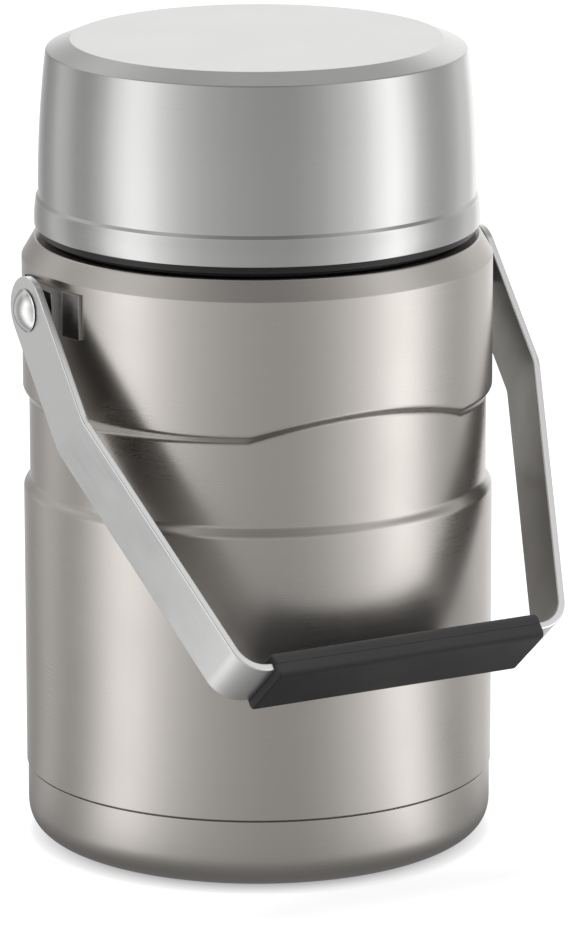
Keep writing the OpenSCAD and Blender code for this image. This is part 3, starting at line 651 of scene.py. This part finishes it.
def brushed_along(name, colour, roughness, edge_colour, edge_roughness, painted_shade_inner_colour):
    """Steel brushed along the bar, with buffed edges and an inner face coloured darker as painted shade.

    Its map was laid on the bar while it was flat."""
    steel, tree, look = new_surface(name, 1)
    link = tree.links.new
    laid = node_with(tree, "UVMap", uv_map="flat_bar").outputs["UV"]
    along = node_with(tree, "Mapping", input_Scale=(40, 5200, 1))
    lines = node_with(tree, "TexNoise", input_Scale=1, input_Detail=3)
    clouds = node_with(tree, "TexNoise", input_Scale=90, input_Detail=3)
    line, cloud = lines.outputs["Fac"], clouds.outputs["Fac"]
    mixed = node_with(tree, "Math", operation="ADD")
    parts = node_with(tree, "SeparateXYZ")
    length = node_with(tree, "Math", operation="ABSOLUTE")
    beyond = node_with(tree, "Math", operation="SUBTRACT", input_1=half_length * mm)
    end = node_with(tree, "Math", operation="MAXIMUM", input_1=0)
    offset = node_with(tree, "CombineXYZ")
    reach = node_with(tree, "VectorMath", operation="LENGTH")
    buffed = ranged(tree, reach.outputs["Value"], (buffed_from * mm, buffed_to * mm), (0, 1))
    face_or_edge = node_with(tree, "Mix", data_type="RGBA", input_7=(*edge_colour, 1))
    face_map = node_with(tree, "UVMap", uv_map="inner_face")
    inner = node_with(tree, "SeparateXYZ")
    # The inner face is coloured darker: painted shade.
    outer_or_painted_shade_inner = node_with(tree, "Mix", data_type="RGBA", input_7=(*painted_shade_inner_colour, 1))
    sheen = node_with(tree, "Mix", data_type="FLOAT", input_3=edge_roughness)
    link(laid, parts.inputs[0])
    link(parts.outputs["X"], length.inputs[0])
    link(length.outputs[0], beyond.inputs[0])
    link(beyond.outputs[0], end.inputs[0])
    link(end.outputs[0], offset.inputs["X"])
    link(parts.outputs["Y"], offset.inputs["Y"])
    link(offset.outputs[0], reach.inputs[0])
    link(laid, along.inputs["Vector"])
    link(along.outputs["Vector"], lines.inputs["Vector"])
    link(laid, clouds.inputs["Vector"])
    link(wander(tree, line, roughness, share=0.05), mixed.inputs[0])
    link(wander(tree, cloud, 0, share=0.04), mixed.inputs[1])
    link(mixed.outputs[0], sheen.inputs[2])
    link(buffed, sheen.inputs[0])
    link(sheen.outputs[0], look["Roughness"])
    link(face_map.outputs["UV"], inner.inputs[0])
    link(inner.outputs["X"], outer_or_painted_shade_inner.inputs[0])
    link(tinted(tree, line, colour, share=0.06), outer_or_painted_shade_inner.inputs[6])
    link(outer_or_painted_shade_inner.outputs[2], face_or_edge.inputs[6])
    link(buffed, face_or_edge.inputs[0])
    link(face_or_edge.outputs[2], look["Base Color"])
    link(relief(tree, line, strength=0.08, depth=fine_depth), look["Normal"])
    return steel


bm = bmesh.new()
bar_ends = arc(half_length, 0, strap_w / 2, -90, 90, 32) + arc(-half_length, 0, strap_w / 2, 90, 270, 32)
bar = bm.faces.new([bm.verts.new((s * mm, v * mm, -strap_t / 2 * mm)) for s, v in bar_ends])
drawn_out(bm, [bar], (0, 0, strap_t))
bmesh.ops.recalc_face_normals(bm, faces=bm.faces)
flats = [f for f in bm.faces if abs(f.normal.z) > 0.9]
softened(bm, [e for f in flats for e in f.edges], strap_edge, segments=4)
start = 0
for length, turn in legs:
    cuts = corner_cuts if turn > 1 else knee_cuts if turn else straight_cuts
    for i in range(cuts + 1):
        for side in (-1, 1):
            at = side * (start + length * i / cuts) * mm
            bmesh.ops.bisect_plane(bm, geom=bm.verts[:] + bm.edges[:] + bm.faces[:], dist=1e-7,
                                   plane_co=(at, 0, 0), plane_no=(1, 0, 0))
    start += length
flat_map = bm.loops.layers.uv.new("flat_bar")
inner_map = bm.loops.layers.uv.new("inner_face")
for face in bm.faces:
    for loop in face.loops:
        loop[flat_map].uv = loop.vert.co.xy
        loop[inner_map].uv = (1 if face.normal.z < -0.9 else 0, 0)
for v in bm.verts:
    s, across, off = v.co / mm
    x, z = bent(s, off)
    v.co = (x * mm, across * mm, z * mm)
bmesh.ops.transform(bm, matrix=hang, verts=bm.verts)
bmesh.ops.recalc_face_normals(bm, faces=bm.faces)
strap_steel = brushed_along("brushed_strap_steel", (0.76, 0.76, 0.755), roughness=0.38,
                            edge_colour=(0.93, 0.93, 0.925), edge_roughness=0.26,
                            painted_shade_inner_colour=(0.36, 0.36, 0.355))
fit_to_body(piece_from("handle_strap_bent", bm, strap_steel), "handle", "handle_strap")

# Grip: two moulded halves of dark glass-filled nylon that close round the
# crossbar, with rounded ends and a fine parting line.
grip_l, grip_outer_t, grip_outer_r, grip_end = 79.4, 3.7, 1.6, 0.8
slot_w, slot_h, slot_edge = strap_w / 2 + 0.1, strap_t / 2 + 0.1, 0.05
parting, parting_edge = 0.015, 0.06
grip_plastic = moulded_plastic("grip_plastic", (0.04, 0.04, 0.041), roughness=0.5, pores=3000, bump=0.14,
                               gleam=0.25)
for node, thick, corner, way in (("grip_inner", grip_inner_t, grip_inner_r, 1),
                                 ("grip_outer", grip_outer_t, grip_outer_r, -1)):
    profile = (
        [(-slot_w, parting), (parting_edge - grip_w / 2, parting), (-grip_w / 2, parting + parting_edge)]
        + arc(corner - grip_w / 2, thick - corner, corner, 180, 90, 8)
        + arc(grip_w / 2 - corner, thick - corner, corner, 90, 0, 8)
        + [(grip_w / 2, parting + parting_edge), (grip_w / 2 - parting_edge, parting), (slot_w, parting),
           (slot_w, slot_h), (-slot_w, slot_h)])
    bm = bmesh.new()
    end = bm.faces.new([bm.verts.new((-grip_l / 2 * mm, v * mm, way * h * mm)) for v, h in profile])
    drawn_out(bm, [end], (grip_l, 0, 0))
    bmesh.ops.recalc_face_normals(bm, faces=bm.faces)
    rims = [e for f in bm.faces if abs(f.normal.x) > 0.9 for e in f.edges
            if all(abs(v.co.y) > (slot_w + slot_edge) * mm or abs(v.co.z) > (slot_h + slot_edge) * mm
                   for v in e.verts)]
    softened(bm, rims, grip_end, segments=5, clamp=True)
    bmesh.ops.translate(bm, verts=bm.verts, vec=(0, 0, -crossbar_s * mm))
    bmesh.ops.transform(bm, matrix=hang, verts=bm.verts)
    fit_to_body(piece_from(node + "_moulding", bm, grip_plastic), "handle", node)

# Food containers: two tapered cups of milky polypropylene with a bead round
# the rim. The upper one stands in the sunk lid of the lower one.
container_r, container_draft, container_wall, container_foot = 49.5, 2.2, 1.6, 4.0
bead_w, bead_h, bead_low, bead_draft = 0.8, 2.5, 12, 0.2


def container(low, high):
    foot_x = container_r - container_draft - container_foot
    return turned(
        [(0, low)] + arc(foot_x, low + container_foot, container_foot, -90, 0, 8)
        + rounded([(container_r - bead_w - bead_draft, high - bead_low),
                   (container_r - bead_w, high - bead_h - bead_w),
                   (container_r, high - bead_h), (container_r, high), (container_r - container_wall, high),
                   (container_r - container_wall - bead_w, high - bead_h - bead_w),
                   (container_r - container_wall - bead_w - bead_draft, high - bead_low)], radius=0.4)
        + arc(foot_x, low + container_foot, container_foot - container_wall, 0, -90, 8)
        + [(0, low + container_wall)], steps=192)


container_plastic = moulded_plastic("milky_polypropylene", (0.84, 0.85, 0.855), roughness=0.34, pores=900,
                                    bump=0.03, clear=0.3)
lower_low, lower_high, upper_low, upper_high = 15.3, 95.3, 97.6, 156.1
for node, low, high in (("lower_container", lower_low, lower_high), ("upper_container", upper_low, upper_high)):
    cup = piece_from(node + "_cup", container(low, high), container_plastic)
    fit_to_body(cup, node, node)

# Container lids: soft grey plastic snapped over the bead, with a sunk panel
# and an inner wall. A silicone ring under each seals the rim.
lid_r, lid_wall, lid_t, lid_skirt, lid_sink, lid_plug = 50.9, 1.1, 1.6, 5.0, 1.0, 1.4
lid_inner_r, panel_mid, seal_t, seal_gap = 46.8, 40, 1.2, 0.1
lid_plastic = moulded_plastic("lid_plastic", (0.27, 0.28, 0.285), roughness=0.42, pores=1500, bump=0.08)
silicone = moulded_plastic("silicone", (0.50, 0.50, 0.49), roughness=0.55, pores=600, bump=0.05, gleam=0.35)


def band(r0, r1, z0, z1, fillet=0.35):
    """A ring of rubber between two radii and two heights."""
    return turned(rounded([(r0, z0), (r1, z0), (r1, z1), (r0, z1)], fillet, ring=True), steps=192)


for body, rim in (("lower_lid", lower_high), ("upper_lid", upper_high)):
    under = rim + seal_t + 2 * seal_gap
    top, panel_r = under + lid_t, lid_inner_r - lid_wall
    lid_line = [(0, under - lid_sink)] + rounded(
        [(panel_mid, under - lid_sink), (panel_r, under - lid_sink), (panel_r, under - lid_sink - lid_plug),
         (lid_inner_r, under - lid_sink - lid_plug), (lid_inner_r, under), (lid_r - lid_wall, under),
         (lid_r - lid_wall, top - lid_skirt), (lid_r, top - lid_skirt), (lid_r, top), (panel_r, top),
         (panel_r - lid_sink, top - lid_sink), (panel_mid, top - lid_sink)], radius=0.4) + [(0, top - lid_sink)]
    lid = piece_from(body + "_moulding", turned(lid_line, steps=192), lid_plastic)
    fit_to_body(lid, body, body)
    seal = band(lid_inner_r + seal_gap, lid_r - lid_wall - seal_gap, rim + seal_gap, rim + seal_gap + seal_t)
    fit_to_body(piece_from(body + "_seal_ring", seal, silicone), body, body + "_seal")

# Stopper body: black polypropylene in one moulding, with a threaded skirt over
# the neck, a flange that shows under the cap, a deck with a fluted knob, and a
# hollow plug that reaches into the neck.
skirt_r, thread_r, flange_r = 54.0, 55.6, 57.9
flange_low, flange_high, deck_low, deck_high = 163.9, 168.1, 177.1, 180.1
plug_r, plug_low, plug_wall, undercut_w, undercut_h = 51.2, 160.1, 2.0, 2.2, 1.1
base_high, stopper_thread_low = 162.1, 170.4
near_axis = 0.01  # keeps a width for the faces round the axis
knob_r, knob_low, knob_high, knob_edge = 30.0, 179.6, 188.1, 0.8
flutes, flute_r, flute_at, flute_parts = 12, 4.0, 31.33, 20
stopper_plastic = moulded_plastic("black_polypropylene", (0.016, 0.016, 0.017), roughness=0.36, pores=2200,
                                  bump=0.08, gleam=0.4)
bm = turned(rounded([
    (near_axis, deck_low), (plug_r - plug_wall, deck_low), (plug_r - plug_wall, base_high), (plug_r, base_high),
    (plug_r, deck_low), (skirt_r, deck_low), (skirt_r, flange_low), (flange_r - undercut_w, flange_low),
    (flange_r - undercut_w, flange_low + undercut_h), (flange_r, flange_low + undercut_h),
    (flange_r, flange_high), (thread_r, flange_high), (thread_r, deck_high), (near_axis, deck_high)],
    radius=0.4))
knob = bmesh.ops.create_circle(bm, cap_ends=True, radius=knob_r * mm, segments=flutes * flute_parts)["verts"]
for v in knob:
    away = math.atan2(v.co.y, v.co.x) * flutes / math.tau
    off = (away - round(away)) * math.tau / flutes
    if abs(flute_at * math.sin(off)) < flute_r:
        hollow = flute_at * math.cos(off) - math.sqrt(flute_r ** 2 - (flute_at * math.sin(off)) ** 2)
        v.co.xy *= min(1, hollow / knob_r)
    v.co.z = knob_low * mm
foot = list({f for v in knob for f in v.link_faces})
top = [g for g in drawn_out(bm, foot, (0, 0, knob_high - knob_low)) if isinstance(g, bmesh.types.BMFace)]
softened(bm, [e for f in top for e in f.edges], knob_edge, segments=4)
thread(bm, thread_r, thread_h, stopper_thread_low, turns=1.9)
bmesh.ops.recalc_face_normals(bm, faces=bm.faces)
fit_to_body(piece_from("stopper_moulding", bm, stopper_plastic), "stopper", "stopper_body")

# Stopper base and foam: a black disc, welded into the plug's mouth by its rib,
# shuts in a filling of bead foam that keeps the heat from the deck.
weld_r, weld_w, weld_h, base_edge = 49.1, 1.2, 1.5, 1
base_line = rounded(
    [(near_axis, plug_low), (plug_r - base_edge, plug_low), (plug_r, plug_low + base_edge), (plug_r, base_high),
     (weld_r, base_high), (weld_r, base_high + weld_h), (weld_r - weld_w, base_high + weld_h),
     (weld_r - weld_w, base_high), (near_axis, base_high)], radius=0.3)
stopper_base = piece_from("stopper_base_moulding", turned(base_line, steps=192), stopper_plastic)
fit_to_body(stopper_base, "stopper", "stopper_base")
bead_foam = moulded_plastic("bead_foam", (0.78, 0.75, 0.68), roughness=0.85, pores=420, bump=0.9, gleam=0.2)
dress("stopper_foam", bead_foam)

# Stopper seal: a ring of silicone between the plug and the skirt. The deck
# presses it on the vessel's rim.
seal = band(plug_r + seal_gap, skirt_r - seal_gap, rim_z + seal_gap, deck_low - seal_gap, fillet=0.5)
seal = piece_from("stopper_seal_ring", seal, silicone)
fit_to_body(seal, "stopper_ring", "stopper_seal")

# Cap shell: the outer wall of the serving bowl that closes the jar, upside
# down. It is one sheet of brushed steel, drawn with a band at its edge, a side
# that curves in, a crisp bevel and a flat disc.
cap_low, cap_r, cap_side_r, cap_taper = 167.1, 59.1, 57.98, 2.25
band_from, band_to, band_high, step_z, side_z, band_draft, hem_r = 168.3, 174.0, 174.4, 175.25, 175.6, 0.5, 0.4
crown_z, bevel_r, bevel_z, disc_r, cap_top = 213.2, 55.55, 213.8, 49.18, 216.4
cap_steel = brushed_steel("bright_cap_steel", (0.55, 0.55, 0.542), roughness=0.20, grain=0.3, smudge=0.02)
side_line = [(cap_side_r - cap_taper * u ** 2, side_z + (crown_z - side_z) * u)
             for u in [i / 14 for i in range(1, 15)]]
cap_line = (
    [(cap_r - hem_r, cap_low), (cap_r - 0.3 * hem_r, cap_low + 0.3 * hem_r), (cap_r, cap_low + hem_r)]
    + [(cap_r - band_draft * u ** 2, band_from + (band_to - band_from) * u)
       for u in [i / 5 for i in range(1, 6)]]
    + rounded([(cap_r - band_draft, band_high - 0.3), (cap_r - band_draft, band_high), (cap_side_r, step_z),
               side_line[0]], 0.12)
    + side_line[1:]
    + rounded([side_line[-1], (bevel_r, bevel_z), (disc_r, cap_top), (40, cap_top)], radius=0.5)[1:]
    + [(20, cap_top), (0, cap_top)])
cap_shell = piece_from("cap_shell_skin", turned(cap_line, closed=False), cap_steel, wall=sheet)
fit_to_body(cap_shell, "cap", "cap_shell")

# Cap bowl: the inner wall, one drawn sheet of steel that is brushed inside. Its
# rim is turned out to meet the shell, and the air between them keeps the heat.
bowl_low, bowl_mid, bowl_floor, bowl_r, bowl_rim_r, bowl_corner = 182.1, 190, 212.0, 53.33, 56.42, 9.5
corner_at = (bowl_r - bowl_corner, bowl_floor - bowl_corner)
bowl_line = (
    [(0, bowl_floor + sheet), (20, bowl_floor + sheet)] + arc(*corner_at, bowl_corner + sheet, 90, 0, 16)
    + rounded([(bowl_r + sheet, bowl_mid), (bowl_r + sheet, bowl_low + sheet), (bowl_rim_r, bowl_low + sheet),
               (bowl_rim_r, bowl_low), (bowl_r, bowl_low), (bowl_r, bowl_mid)], radius=0.35)
    + arc(*corner_at, bowl_corner, 0, 90, 16) + [(20, bowl_floor), (0, bowl_floor)])
bowl_steel = brushed_steel("bowl_steel", (0.60, 0.595, 0.585), roughness=0.24, grain=0.3)
cap_bowl = piece_from("cap_bowl", turned(bowl_line, steps=192), bowl_steel)
fit_to_body(cap_bowl, "cap", "cap_liner")

# Cap collar: a ring of black polypropylene that holds the shell and the bowl's
# rim together. It is threaded inside and screws down over the stopper.
collar_r, collar_wide, collar_low, collar_high = 56.0, 57.5, 168.4, 182.0
collar_thread_low, chamfer_low, chamfer_high = 171.9, 179.1, 180.4
bm = turned(rounded([
    (collar_r, collar_low), (collar_wide, collar_low), (collar_wide, band_high - sheet),
    (bowl_rim_r, band_high), (bowl_rim_r, collar_high), (thread_r, collar_high),
    (thread_r, chamfer_high), (collar_r, chamfer_low)], radius=0.2, ring=True), steps=192)
thread(bm, collar_r, -thread_h, collar_thread_low, turns=1.7, width=1.4)
bmesh.ops.recalc_face_normals(bm, faces=bm.faces)
fit_to_body(piece_from("cap_collar_moulding", bm, stopper_plastic), "cap", "cap_collar")

# Cap seal: a ring of silicone in the collar's step. It is pressed on the
# stopper's deck.
cap_seal_w, cap_seal_t = 1.9, 1.7
seal = band(thread_r - seal_gap - cap_seal_w, thread_r - seal_gap, deck_high + seal_gap,
            deck_high + seal_gap + cap_seal_t, fillet=0.5)
seal = piece_from("cap_seal_ring", seal, silicone)
fit_to_body(seal, "cap_ring", "cap_seal")
